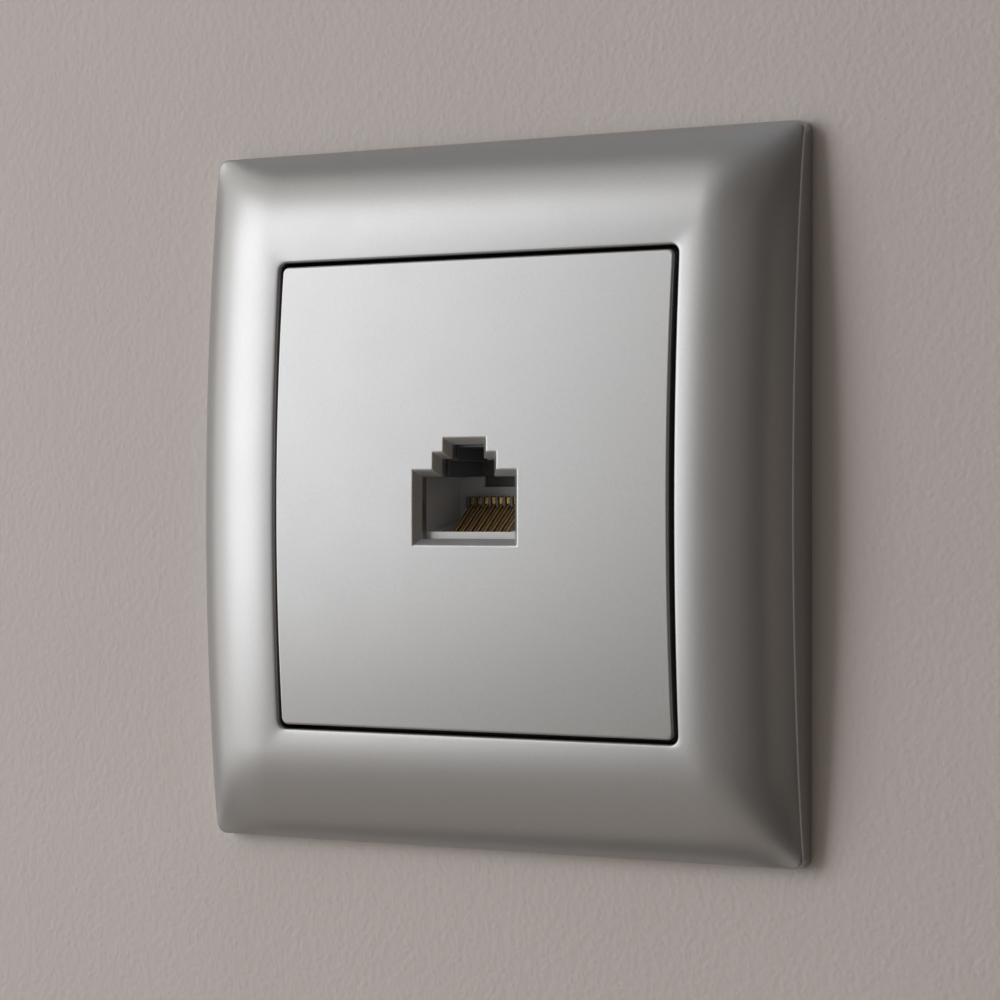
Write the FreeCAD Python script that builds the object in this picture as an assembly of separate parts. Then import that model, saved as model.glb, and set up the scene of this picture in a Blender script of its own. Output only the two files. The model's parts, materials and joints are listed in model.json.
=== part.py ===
import FreeCAD, Part
import math
import os

from FreeCAD import Vector

# Flush ethernet wall socket, millimetres.
# The wall's surface is the plane y = 0, the front faces -Y and +Z is up.
# The origin is the middle of the wall screws.

# Cover frame
frame_bow_radius = 355.0    # bow from top to bottom
frame_crest = 7.8           # highest line above the wall, at half height
frame_half = 41.05
frame_rim = 4.2             # height of the outer edge above the wall, at half height
frame_corner_r = 1.3
opening_half_x = 27.84
opening_half_z = 27.62
strip_crest_out = 2.48      # from the opening's edge out to the highest line of the strips
strip_edge_share = 0.28     # share of a strip's fall that comes close to the outer edge
strip_inner_round = 1.0     # softens the mitres inside the highest line
front_point_gap = 1.75      # largest gap between the points that the front surface runs through
front_margin = 0.05         # how far the front surface runs past the outer edge
rim_edge_r = 0.4
opening_corner_r = 1.0
opening_edge_r = 0.45
frame_side_wall = 1.6
frame_front_wall = 1.9
hollow_rim = 2.7            # height of the hollow at its outer edge
opening_wall = 1.45
opening_wall_foot = -1.4    # where the wall round the opening ends
ledge_reach = 2.7           # ledge under the plate, inwards from the opening
ledge_thickness = 1.2
rib_offset = 14.0
rib_thickness = 1.0
rib_foot = -1.4

# Cover plate
plate_gap_x = 0.5           # gap between plate and frame at the left and right
plate_gap_z = 0.48          # the same at the top and bottom
plate_bow_radius = 285.0    # bow from top to bottom
plate_crown = 8.02          # highest line above the wall, at half height
plate_corner_r = 0.8
plate_edge_r = 0.25
plate_wall = 1.5
port_half_main = 6.49       # stepped opening, measured at the foot of its chamfer
port_half_step = 3.65
port_half_slot = 2.19
port_bottom = -5.02
port_top_main = 2.12
port_top_step = 4.15
port_top_slot = 5.79
port_chamfer = 0.78
leg_offset = 5.0
leg_width = 4.0
leg_gap = 0.4               # from a leg to the support plate's window
leg_thickness = 1.2
leg_hook_reach = 1.0
leg_end = 1.7

# Support plate
support_gap = 3.95          # between the support plate and the frame's side wall
support_corner_r = 6.0
support_thickness = 1.0
window_inset = 3.62         # from the frame's opening in to the window's edge
window_chamfer = 16.0
tab_half = 4.5
tab_length = 6.0            # tabs from the window's edge inwards
slot_centre = 30.0
slot_width = 3.8
slot_length = 8.0
lug_inner_z = 5.0
lug_thickness = 1.0
lug_width = 4.4             # from the window's edge outwards
lug_depth = 5.7
rivet_inset = 6.0           # from the window's edge to the rivets
rivet_hole_r = 1.5

# Rivets
rivet_r = 1.48
rivet_head_r = 2.5
rivet_head_height = 0.8

# Claws with their pins and screws
pin_outset = 2.0            # from the window's edge out to the claw's pin
pin_y = 3.5
pin_r = 1.0
pin_clearance = 0.05
pin_head_r = 1.6
pin_head_thickness = 0.6
claw_half = 4.3
claw_ear_r = 1.95
claw_sheet = 1.2
prong_inner_z = 2.3
prong_length = 19.0
prong_step = 0.8            # from the pin's axis out to the prong
tooth_height = 1.2
tooth_pitch = 2.4
tooth_count = 3
heel_length = 6.2
heel_step = 0.3             # from the pin's axis back to the heel
screw_inset = 3.0           # from the window's edge in to the claw's screw
screw_r = 1.45
screw_clearance = 0.05
screw_collar_r = 2.6
screw_collar_depth = 1.0
screw_head_r = 2.75
screw_head_front = -5.5
screw_head_height = 2.0
screw_head_edge_r = 0.5
screw_slot_width = 0.8
screw_slot_depth = 1.0
screw_tip_gap = 0.3

# Jack carrier
carrier_margin = 4.5        # from the rivets' axes to the flange's edge
carrier_corner_margin = 3.5 # the same at its rounded corners
flange_thickness = 2.0
claw_notch_gap = 1.5        # between the flange and the support plate's tabs
claw_notch_half = 7.2
hook_notch_half = 8.6
hook_notch_gap = 1.2        # between the flange and the plate's legs
tunnel_half_x = 11.0
tunnel_top = 12.6
tunnel_bottom = -11.6
tunnel_front = -5.3
tunnel_back = 7.0
jack_clearance = 0.1

# Jack housing
jack_half_x = 8.2
jack_top = 9.9
jack_bottom = -9.2
jack_back = 7.5
nose_front = -6.35
nose_back = -5.9
nose_top = 7.4
nose_bottom = -7.2
jack_flange_grow = 1.4
latch_half_wide = 3.2
latch_half_narrow = 2.0
latch_top_wide = 4.0
latch_top_narrow = 5.5
snap_reach = 0.7
snap_half = 4.0
board_foot = 1.6            # side of the four pads the circuit board sits on

# Contact comb, the pale tray that lines the plug's cavity
comb_clearance = 0.05
cavity_half = 6.4
cavity_top = 2.25
cavity_back = 0.25
comb_wall = 0.55
comb_bottom = -7.6
comb_lip = -6.1             # underside of the tray where it passes through the nose
comb_deck = -5.05
comb_step = -5.65           # where the tray's floor gets thicker
latch_notch_half = 3.0
latch_notch_floor = 1.03
comb_ledge_top = -4.2
comb_ledge_depth = 0.9
ramp_width = 1.4
ramp_rise = 1.5
teeth_front = -1.4
teeth_bottom = -1.5
teeth_top = -0.1
teeth_margin = 0.6          # from the outer contacts to the ends of the row of teeth
teeth_clearance = 0.1       # between a contact's upright end and the teeth beside it

# Contacts
contact_count = 8
contact_pitch = 1.02
contact_width = 0.5
contact_thickness = 0.46
contact_slot_gap = 0.06      # between a lead and the sides of its slot
contact_front_wall = 0.35
contact_base_y = -4.95
contact_base_z = -4.45
contact_bend_y = -1.05
contact_bend_z = -1.0
contact_tip_z = -0.3
contact_gap = 0.2
lead_floor_high = -6.1
lead_floor_low = -7.2

# Circuit board
board_front = 8.0
board_thickness = 1.6
board_half = 7.8
board_bottom = -9.0
board_top = 9.7
board_hole_gap = 0.08
lead_stick_out = 0.7

# Terminal block and wire caps
row_offset = 5.6            # height of a wire row above and below the middle
row_centre = 0.35
row_half = 2.3
wire_pitch = 3.6
wire_columns = 4
block_base = 1.4
block_end = 19.0
wire_slot = 1.3
wire_slot_floor = 12.5
blade_width = 2.5
blade_thickness = 0.5
blade_pocket_gap = 0.05
blade_end = 17.6
blade_fork = 0.4
blade_fork_depth = 4.6
blade_tail_width = 0.7
blade_tail_end = 7.75
cap_wall = 1.0
cap_clearance = 0.1
cap_start = 13.2
cap_roof = 1.5
cap_groove_width = 0.7
cap_groove_depth = 0.5
cap_wire_end = 16.2

# Values worked out from those above
frame_axis_y = frame_bow_radius - frame_crest
plate_axis_y = plate_bow_radius - plate_crown
strip_line = min(opening_half_x, opening_half_z) + strip_crest_out
support_half = frame_half - frame_side_wall - support_gap
window_half = min(opening_half_x, opening_half_z) - window_inset
plate_half_x = opening_half_x - plate_gap_x
plate_half_z = opening_half_z - plate_gap_z
leg_inner = window_half - leg_gap - leg_thickness
tab_inner = window_half - tab_length
rivet_offset = window_half - rivet_inset
pin_x = window_half + pin_outset
screw_x = window_half - screw_inset
carrier_half = rivet_offset + carrier_margin
carrier_radius = math.hypot(rivet_offset, rivet_offset) + carrier_corner_margin
claw_notch_x = tab_inner - claw_notch_gap
hook_notch_z = leg_inner - hook_notch_gap
contact_slot = contact_width + 2 * contact_slot_gap
teeth_slot = contact_width + 2 * teeth_clearance
board_back = board_front + board_thickness
contact_x = [(i - (contact_count - 1) / 2) * contact_pitch for i in range(contact_count)]
wire_x = [(i - (wire_columns - 1) / 2) * wire_pitch for i in range(wire_columns)]
row_z = [row_centre + row_offset, row_centre - row_offset]


def box(x0, x1, y0, y1, z0, z1):
    return Part.makeBox(x1 - x0, y1 - y0, z1 - z0, Vector(x0, y0, z0))


def pin(x, z, radius, y0, y1):
    return Part.makeCylinder(radius, y1 - y0, Vector(x, y0, z), Vector(0, 1, 0))


def fused(shapes):
    return shapes[0].multiFuse(shapes[1:]).removeSplitter()


def rounded_block(half_x, half_z, radius, y0, y1):
    block = box(-half_x, half_x, y0, y1, -half_z, half_z)
    upright = [e for e in block.Edges if abs(e.tangentAt(e.FirstParameter).y) > 0.99]
    return block.makeFillet(radius, upright)


def prism_along_y(points, y0, y1):
    corners = [Vector(x, y0, z) for x, z in points]
    face = Part.Face(Part.makePolygon(corners + corners[:1]))
    return face.extrude(Vector(0, y1 - y0, 0))


def prism_along_x(points, x0, x1):
    corners = [Vector(x0, y, z) for y, z in points]
    face = Part.Face(Part.makePolygon(corners + corners[:1]))
    return face.extrude(Vector(x1 - x0, 0, 0))


def bowed_y(height, z):
    """Depth at z of a line of the frame that stands this high above the wall at half height."""
    return frame_axis_y - math.sqrt((frame_axis_y + height) ** 2 - z ** 2)


def revolved_front(edges, bow_radius, axis_y):
    """Solid under a profile in the plane z = 0, swept along the bow."""
    face = Part.Face(Part.Wire(edges))
    turn = math.degrees(math.asin((frame_half + 4) / bow_radius))
    centre = Vector(0, axis_y, 0)
    face.rotate(centre, Vector(1, 0, 0), -turn)
    return face.revolve(centre, Vector(1, 0, 0), 2 * turn)


def line(a, b):
    return Part.LineSegment(a, b).toShape()


def arc(a, b, c):
    return Part.Arc(a, b, c).toShape()


def strip_drop(t):
    """Share of its fall that a strip has come down, from t = 0 on its highest line to 1 at its edge."""
    return (1 - strip_edge_share) * t ** 2 + strip_edge_share * max(t, 0.0) ** 6


def strip_height(x, z, half, crest, rim):
    """Height before the bow: a strip along each side, and strips that flow into each other at the corners."""
    run = half - strip_line
    wide = abs(x)
    tall = abs(z)
    across = strip_drop(max(wide - strip_line, 0.0) / run)
    along = strip_drop(max(tall - strip_line, 0.0) / run)
    ring = (wide + tall + math.hypot(wide - tall, strip_inner_round)) / 2
    inwards = strip_drop(min(ring - strip_line, 0.0) / run)
    return crest - (crest - rim) * (across + along - across * along + inwards)


def bowed_blank(half, crest, rim):
    """Solid behind the bowed surface that has a rounded strip along each side."""
    reach = half + front_margin
    count = math.ceil(reach / front_point_gap)
    places = [reach * i / count for i in range(-count, count + 1)]
    rows = []
    for x in places:
        rows.append([Vector(x, bowed_y(strip_height(x, z, half, crest, rim), z), z) for z in places])
    surface = Part.BSplineSurface()
    surface.interpolate(rows)
    return surface.toShape().extrude(Vector(0, 2 * half, 0))


def middle_of(edge):
    return (edge.FirstParameter + edge.LastParameter) / 2


def front_edges(shape, half_x, half_z):
    """Edges round the front face that lie on an upright rectangle of this size."""
    found = []
    for e in shape.Edges:
        middle = e.valueAt(middle_of(e))
        on_side = abs(abs(middle.x) - half_x) < 0.5 or abs(abs(middle.z) - half_z) < 0.5
        within = abs(middle.x) < half_x + 0.1 and abs(middle.z) < half_z + 0.1
        across = abs(e.tangentAt(middle_of(e)).y) < 0.5
        if on_side and within and across and middle.y < -frame_rim / 4:
            found.append(e)
    return found


def cover_frame():
    opening = rounded_block(opening_half_x, opening_half_z, opening_corner_r, -20, 20)
    outer = bowed_blank(frame_half, frame_crest, frame_rim)
    outer = outer.common(rounded_block(frame_half, frame_half, frame_corner_r, -20, 0)).cut(opening)
    outer = outer.makeFillet(rim_edge_r, front_edges(outer, frame_half, frame_half))
    outer = outer.makeFillet(opening_edge_r, front_edges(outer, opening_half_x, opening_half_z))
    core_x = opening_half_x + opening_wall
    core_z = opening_half_z + opening_wall
    core = rounded_block(core_x, core_z, opening_corner_r + opening_wall, -20, opening_wall_foot)
    hollow_half = frame_half - frame_side_wall
    hollow_crest = frame_crest - frame_front_wall
    hollow = bowed_blank(hollow_half, hollow_crest, hollow_rim)
    hollow = hollow.common(box(-hollow_half, hollow_half, -20, 1, -hollow_half, hollow_half)).cut(core)
    ledge_front = opening_wall_foot - ledge_thickness
    grow = 0.5 * opening_wall
    ledge = rounded_block(opening_half_x + grow, opening_half_z + grow, opening_corner_r, ledge_front,
                          opening_wall_foot)
    ledge = ledge.cut(box(-opening_half_x + ledge_reach, opening_half_x - ledge_reach, -20, 20,
                          -opening_half_z + ledge_reach, opening_half_z - ledge_reach))
    ribs = []
    for side in (-1, 1):
        for offset in (-rib_offset, rib_offset):
            low = offset - rib_thickness / 2
            high = offset + rib_thickness / 2
            near = sorted([side * (core_x - 0.4), side * (hollow_half + 0.4)])
            ribs.append(box(near[0], near[1], -frame_crest, rib_foot, low, high))
            near = sorted([side * (core_z - 0.4), side * (hollow_half + 0.4)])
            ribs.append(box(low, high, -frame_crest, rib_foot, near[0], near[1]))
    ribs = [rib.common(outer) for rib in ribs]
    return fused([outer.cut(hollow), ledge] + ribs)


def port_wire(grow, y):
    """Outline of the stepped opening, enlarged by the same amount all round."""
    main = port_half_main + grow
    step = port_half_step + grow
    slot = port_half_slot + grow
    half = [
        (main, port_bottom - grow),
        (main, port_top_main + grow),
        (step, port_top_main + grow),
        (step, port_top_step + grow),
        (slot, port_top_step + grow),
        (slot, port_top_slot + grow),
    ]
    points = half + [(-x, z) for x, z in reversed(half)]
    corners = [Vector(x, y, z) for x, z in points]
    return Part.makePolygon(corners + corners[:1])


def under_plate_front(lower):
    """Solid under the plate's front surface, lowered by this much."""
    reach = plate_half_x + 2
    left = Vector(-reach, lower - plate_crown, 0)
    right = Vector(reach, lower - plate_crown, 0)
    foot_left = Vector(-reach, 6, 0)
    foot_right = Vector(reach, 6, 0)
    return revolved_front([
        line(left, right),
        line(right, foot_right),
        line(foot_right, foot_left),
        line(foot_left, left),
    ], plate_bow_radius, plate_axis_y)


def plate_leg(side_x, side_z):
    x0 = side_x * leg_offset - leg_width / 2
    inner = side_z * leg_inner
    outer = side_z * (leg_inner + leg_thickness)
    root = plate_wall - plate_crown
    stem = [(root, inner), (leg_end, inner), (leg_end, outer), (root, outer)]
    tip = side_z * (leg_inner + leg_thickness + leg_hook_reach)
    hook = [(0, outer), (0, tip), (leg_end, outer)]
    stem = prism_along_x(stem, x0, x0 + leg_width).common(under_plate_front(plate_wall / 2))
    return stem.fuse(prism_along_x(hook, x0, x0 + leg_width))


def cover_plate():
    skirt_foot = opening_wall_foot - ledge_thickness
    plate = under_plate_front(0).common(
        rounded_block(plate_half_x, plate_half_z, plate_corner_r, -20, skirt_foot))
    plate = plate.makeFillet(plate_edge_r, front_edges(plate, plate_half_x, plate_half_z))
    inside = under_plate_front(plate_wall).common(
        rounded_block(plate_half_x - plate_wall, plate_half_z - plate_wall, plate_corner_r, -20, 0))
    plate = plate.cut(inside)
    over = 0.4
    chamfer_foot = port_chamfer - plate_crown
    chamfer = Part.makeLoft([
        port_wire(0, chamfer_foot),
        port_wire(port_chamfer + over, -plate_crown - over),
    ], True, True)
    port = Part.Face(port_wire(0, -20)).extrude(Vector(0, 30, 0))
    plate = plate.cut(port).cut(chamfer)
    legs = [plate_leg(sx, sz) for sx in (-1, 1) for sz in (-1, 1)]
    return fused([plate] + legs)


def slot_hole(centre_x, centre_z, along_x):
    half = (slot_length - slot_width) / 2
    dx = half if along_x else 0
    dz = 0 if along_x else half
    radius = slot_width / 2
    wide_x = half if along_x else radius
    wide_z = radius if along_x else half
    return fused([
        box(centre_x - wide_x, centre_x + wide_x, -5, 5, centre_z - wide_z, centre_z + wide_z),
        pin(centre_x - dx, centre_z - dz, radius, -5, 5),
        pin(centre_x + dx, centre_z + dz, radius, -5, 5),
    ])


def support_plate():
    plate = rounded_block(support_half, support_half, support_corner_r, -support_thickness, 0)
    cut_start = window_half - window_chamfer
    octagon = [
        (window_half, -cut_start),
        (window_half, cut_start),
        (cut_start, window_half),
        (-cut_start, window_half),
        (-window_half, cut_start),
        (-window_half, -cut_start),
        (-cut_start, -window_half),
        (cut_start, -window_half),
    ]
    plate = plate.cut(prism_along_y(octagon, -5, 5))
    added = []
    holes = []
    for side in (-1, 1):
        near = sorted([side * tab_inner, side * (window_half + 0.5)])
        added.append(box(near[0], near[1], -support_thickness, 0, -tab_half, tab_half))
        added.append(pin(side * screw_x, 0, screw_collar_r, -support_thickness / 2, screw_collar_depth))
        holes.append(pin(side * screw_x, 0, screw_r + screw_clearance, -5, 5))
        near = sorted([side * window_half, side * (window_half + lug_width)])
        for end in (-1, 1):
            tall = sorted([end * lug_inner_z, end * (lug_inner_z + lug_thickness)])
            added.append(box(near[0], near[1], -support_thickness / 2, lug_depth, tall[0], tall[1]))
            holes.append(pin(side * rivet_offset, end * rivet_offset, rivet_hole_r, -5, 5))
        holes.append(Part.makeCylinder(pin_r + pin_clearance, 40, Vector(side * pin_x, pin_y, -20)))
        holes.append(slot_hole(side * slot_centre, 0, True))
        holes.append(slot_hole(0, side * slot_centre, False))
    return fused([plate] + added).cut(Part.makeCompound(holes))


def carrier_rivets():
    rivets = []
    for x in (-rivet_offset, rivet_offset):
        for z in (-rivet_offset, rivet_offset):
            front = -support_thickness
            rivets.append(fused([
                pin(x, z, rivet_r, front - 0.2, flange_thickness + 0.2),
                pin(x, z, rivet_head_r, front - rivet_head_height, front),
                pin(x, z, rivet_head_r, flange_thickness, flange_thickness + rivet_head_height),
            ]))
    return Part.makeCompound(rivets)


def jack_carrier():
    flange = box(-carrier_half, carrier_half, 0, flange_thickness, -carrier_half, carrier_half)
    flange = flange.common(pin(0, 0, carrier_radius, -1, flange_thickness + 1))
    tunnel = box(-tunnel_half_x, tunnel_half_x, tunnel_front, tunnel_back, tunnel_bottom, tunnel_top)
    cuts = []
    for side in (-1, 1):
        near = sorted([side * claw_notch_x, side * 40])
        cuts.append(box(near[0], near[1], -5, 5, -claw_notch_half, claw_notch_half))
        near = sorted([side * hook_notch_z, side * 40])
        cuts.append(box(-hook_notch_half, hook_notch_half, -5, 5, near[0], near[1]))
        for end in (-1, 1):
            cuts.append(pin(side * rivet_offset, end * rivet_offset, rivet_hole_r, -5, 5))
    window = box(-jack_half_x - jack_clearance, jack_half_x + jack_clearance, -20, 20,
                 jack_bottom - jack_clearance, jack_top + jack_clearance)
    return fused([flange, tunnel]).cut(Part.makeCompound(cuts)).cut(window)


def claw(side):
    """Two-pronged claw: ears round the pin, prongs towards the back, heel towards the middle."""
    tall = claw_half
    ear = Part.makeCylinder(claw_ear_r, 2 * tall, Vector(pin_x, pin_y, -tall))
    prong_x = pin_x + prong_step
    heel_y = pin_y + heel_step
    prong = box(prong_x, prong_x + claw_sheet, pin_y, pin_y + prong_length, -tall, tall)
    heel = box(pin_x - heel_length, pin_x, heel_y, heel_y + claw_sheet, -tall, tall)
    teeth = []
    outer = prong_x + claw_sheet
    end = pin_y + prong_length
    for i in range(tooth_count):
        tip = end - i * tooth_pitch
        outline = [(outer, tip), (outer + tooth_height, tip), (outer, tip - tooth_pitch)]
        corners = [Vector(x, y, -tall) for x, y in outline]
        face = Part.Face(Part.makePolygon(corners + corners[:1]))
        teeth.append(face.extrude(Vector(0, 0, 2 * tall)))
    shape = fused([ear, prong, heel] + teeth)
    gap_z = prong_inner_z
    between = box(pin_x - 0.5, pin_x + 10, pin_y + claw_ear_r + 1.4, pin_y + 40, -gap_z, gap_z)
    middle = box(pin_x - 1.2, pin_x + 10, pin_y - 10, pin_y + heel_step, -gap_z, gap_z)
    bore = Part.makeCylinder(pin_r + pin_clearance, 40, Vector(pin_x, pin_y, -20))
    shape = shape.cut(between).cut(middle).cut(bore)
    if side < 0:
        shape = shape.mirror(Vector(0, 0, 0), Vector(1, 0, 0))
    return shape


def claw_pin(side):
    reach = lug_inner_z + lug_thickness
    shank = Part.makeCylinder(pin_r, 2 * reach, Vector(side * pin_x, pin_y, -reach))
    heads = []
    for z in (-reach - pin_head_thickness, reach):
        heads.append(Part.makeCylinder(pin_head_r, pin_head_thickness, Vector(side * pin_x, pin_y, z)))
    return fused([shank] + heads)


def claw_screw(side):
    x = side * screw_x
    head_back = screw_head_front + screw_head_height
    tip_r = screw_r * 0.8
    tip = pin_y + heel_step - screw_tip_gap
    head = pin(x, 0, screw_head_r, screw_head_front, head_back)
    rounds = [e for e in head.Edges if len(e.Vertexes) == 1]
    rim = [e for e in rounds if abs(e.CenterOfMass.y - screw_head_front) < 0.01]
    head = head.makeFillet(screw_head_edge_r, rim)
    shank = pin(x, 0, screw_r, head_back - 0.2, tip - tip_r)
    ball = Part.makeSphere(tip_r, Vector(x, tip - tip_r, 0))
    slot = box(x - 5, x + 5, -20, screw_head_front + screw_slot_depth,
               -screw_slot_width / 2, screw_slot_width / 2)
    return fused([head, shank, ball]).cut(slot)


def jack_housing():
    body = box(-jack_half_x, jack_half_x, nose_back, jack_back, jack_bottom, jack_top)
    nose = box(-jack_half_x, jack_half_x, nose_front, 0, nose_bottom, nose_top)
    grow = jack_flange_grow
    flange = box(-jack_half_x - grow, jack_half_x + grow, nose_back, tunnel_front,
                 jack_bottom - grow, jack_top + grow)
    snaps = []
    for z0, z1 in ((jack_top - 0.2, jack_top + snap_reach), (jack_bottom - snap_reach, jack_bottom + 0.2)):
        snaps.append(box(-snap_half, snap_half, tunnel_back, jack_back, z0, z1))
    feet = []
    for x in (-board_half, board_half - board_foot):
        for z in (board_bottom, board_top - board_foot):
            feet.append(box(x, x + board_foot, jack_back - 0.2, board_front, z, z + board_foot))
    tray_half = cavity_half + comb_wall + comb_clearance
    tray_back = cavity_back + comb_wall + comb_clearance
    tray_top = cavity_top + comb_clearance
    tray = box(-tray_half, tray_half, -20, tray_back, comb_lip - comb_clearance, tray_top)
    channel = box(-tray_half, tray_half, comb_step - comb_clearance, jack_back + 1,
                  comb_bottom - comb_clearance, comb_deck + comb_clearance)
    latch_wide = box(-latch_half_wide, latch_half_wide, -20, cavity_back, 0, latch_top_wide)
    latch_narrow = box(-latch_half_narrow, latch_half_narrow, -20, cavity_back, 0, latch_top_narrow)
    shape = fused([body, nose, flange] + snaps + feet)
    return shape.cut(Part.makeCompound([tray, channel, latch_wide, latch_narrow]))


def contact_comb():
    outer = cavity_half + comb_wall
    back = cavity_back + comb_wall
    tray = box(-outer, outer, nose_front, back, comb_lip, cavity_top)
    tray = tray.cut(box(-cavity_half, cavity_half, -20, cavity_back, comb_deck, 20))
    notch = box(-latch_notch_half, latch_notch_half, -20, 20, latch_notch_floor, 20)
    deck = box(-outer, outer, comb_step, jack_back, comb_bottom, comb_deck)
    ledge_back = nose_front + comb_ledge_depth
    ledge = box(-cavity_half, cavity_half, nose_front, ledge_back, comb_lip, comb_ledge_top)
    teeth_half = contact_x[-1] + contact_width / 2 + teeth_margin
    teeth = box(-teeth_half, teeth_half, teeth_front, back, teeth_bottom, teeth_top)
    ramp_start = nose_front + comb_ledge_depth / 2
    ramp = [(ramp_start, comb_lip), (back, comb_lip), (back, comb_ledge_top + ramp_rise),
            (ramp_start, comb_ledge_top)]
    ramp_inner = cavity_half - ramp_width
    ramp_outer = cavity_half + comb_wall / 2
    ramps = [
        prism_along_x(ramp, -ramp_outer, -ramp_inner),
        prism_along_x(ramp, ramp_inner, ramp_outer),
    ]
    cuts = [notch]
    for i, x in enumerate(contact_x):
        floor = lead_floor_high if i % 2 == 0 else lead_floor_low
        cuts.append(box(x - contact_slot / 2, x + contact_slot / 2, comb_step + contact_front_wall,
                        jack_back + 1, floor, comb_deck + 2))
        cuts.append(box(x - teeth_slot / 2, x + teeth_slot / 2, teeth_front - 1, cavity_back,
                        teeth_bottom - 1, teeth_top + 1))
    return fused([tray, deck, ledge, teeth] + ramps).cut(Part.makeCompound(cuts))


def contact_spring(index):
    """Sloping wire with a round foot and an upright end; it turns about the middle of that foot."""
    x0 = contact_x[index] - contact_width / 2
    radius = contact_thickness / 2
    foot = Vector(x0, contact_base_y, contact_base_z)
    bend = Vector(x0, contact_bend_y, contact_bend_z)
    tip = Vector(x0, contact_bend_y, contact_tip_z)
    along = (bend - foot).normalize()
    across = Vector(0, -along.z, along.y) * radius
    aside = Vector(0, -radius, 0)
    half_turn = math.atan2(along.y, along.z) / 2
    corner = Vector(0, -radius, radius * math.tan(half_turn))
    outline = Part.Wire([
        line(foot + across, bend + corner),
        line(bend + corner, tip + aside),
        arc(tip + aside, tip + Vector(0, 0, radius), tip - aside),
        line(tip - aside, bend - corner),
        line(bend - corner, foot - across),
        arc(foot - across, foot - along * radius, foot + across),
    ])
    return Part.Face(outline).extrude(Vector(contact_width, 0, 0))


def contact_leads():
    leads = []
    y0 = contact_base_y - contact_thickness / 2
    top = contact_base_z - contact_thickness / 2 - contact_gap
    for i, x in enumerate(contact_x):
        floor = lead_floor_high if i % 2 == 0 else lead_floor_low
        outline = [
            (y0, floor),
            (board_back + lead_stick_out, floor),
            (board_back + lead_stick_out, floor + contact_thickness),
            (y0 + contact_thickness, floor + contact_thickness),
            (y0 + contact_thickness, top),
            (y0, top),
        ]
        leads.append(prism_along_x(outline, x - contact_width / 2, x + contact_width / 2))
    return Part.makeCompound(leads)


def blade_places():
    return [(x, z) for z in row_z for x in wire_x]


def jack_pcb():
    board = box(-board_half, board_half, board_front, board_back, board_bottom, board_top)
    holes = []
    for i, x in enumerate(contact_x):
        floor = lead_floor_high if i % 2 == 0 else lead_floor_low
        radius = math.hypot(contact_width, contact_thickness) / 2 + board_hole_gap
        holes.append(pin(x, floor + contact_thickness / 2, radius, -20, 40))
    for x, z in blade_places():
        radius = math.hypot(blade_tail_width, blade_thickness) / 2 + board_hole_gap
        holes.append(pin(x, z, radius, -20, 40))
    return board.cut(Part.makeCompound(holes))


def terminal_block():
    base = box(-board_half, board_half, board_back, board_back + block_base, board_bottom, board_top)
    rows = []
    cuts = []
    for z in row_z:
        rows.append(box(-board_half, board_half, board_back, block_end, z - row_half, z + row_half))
        for x in wire_x:
            cuts.append(box(x - wire_slot / 2, x + wire_slot / 2, wire_slot_floor, 40,
                            z - row_half - 1, z + row_half + 1))
            half_x = blade_width / 2 + blade_pocket_gap
            half_z = blade_thickness / 2 + blade_pocket_gap
            cuts.append(box(x - half_x, x + half_x, board_back - 1, 40, z - half_z, z + half_z))
    relief = box(-contact_x[-1] - 1, contact_x[-1] + 1, board_back - 1, board_back + block_base - 0.5,
                 lead_floor_low - 0.4, lead_floor_high + 0.8)
    return fused([base] + rows).cut(Part.makeCompound(cuts + [relief]))


def idc_blade(x, z):
    half = blade_width / 2
    fork = blade_fork / 2
    tail = blade_tail_width / 2
    fork_floor = blade_end - blade_fork_depth
    lead_in = 0.5
    outline = [
        (-tail, blade_tail_end),
        (tail, blade_tail_end),
        (tail, board_back),
        (half, board_back),
        (half, blade_end),
        (fork + lead_in, blade_end),
        (fork, blade_end - 2 * lead_in),
        (fork, fork_floor),
        (-fork, fork_floor),
        (-fork, blade_end - 2 * lead_in),
        (-fork - lead_in, blade_end),
        (-half, blade_end),
        (-half, board_back),
        (-tail, board_back),
    ]
    corners = [Vector(x + dx, y, z - blade_thickness / 2) for dx, y in outline]
    face = Part.Face(Part.makePolygon(corners + corners[:1]))
    return face.extrude(Vector(0, 0, blade_thickness))


def wire_cap(z):
    inner_x = board_half + cap_clearance
    inner_z = row_half + cap_clearance
    end = block_end + cap_roof
    shell = box(-inner_x - cap_wall, inner_x + cap_wall, cap_start, end,
                z - inner_z - cap_wall, z + inner_z + cap_wall)
    upright = [e for e in shell.Edges if abs(e.tangentAt(e.FirstParameter).y) > 0.99]
    shell = shell.makeFillet(0.6, upright)
    cuts = [box(-inner_x, inner_x, cap_start - 1, block_end, z - inner_z, z + inner_z)]
    for x in wire_x:
        cuts.append(box(x - wire_slot / 2, x + wire_slot / 2, cap_start - 1, cap_wire_end, z - 10, z + 10))
        cuts.append(box(x - cap_groove_width / 2, x + cap_groove_width / 2, end - cap_groove_depth,
                        end + 1, z - inner_z, z + inner_z))
    return shell.cut(Part.makeCompound(cuts))


def save(name, shape):
    shape.exportStep(os.path.join("parts", name + ".step"))


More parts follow.
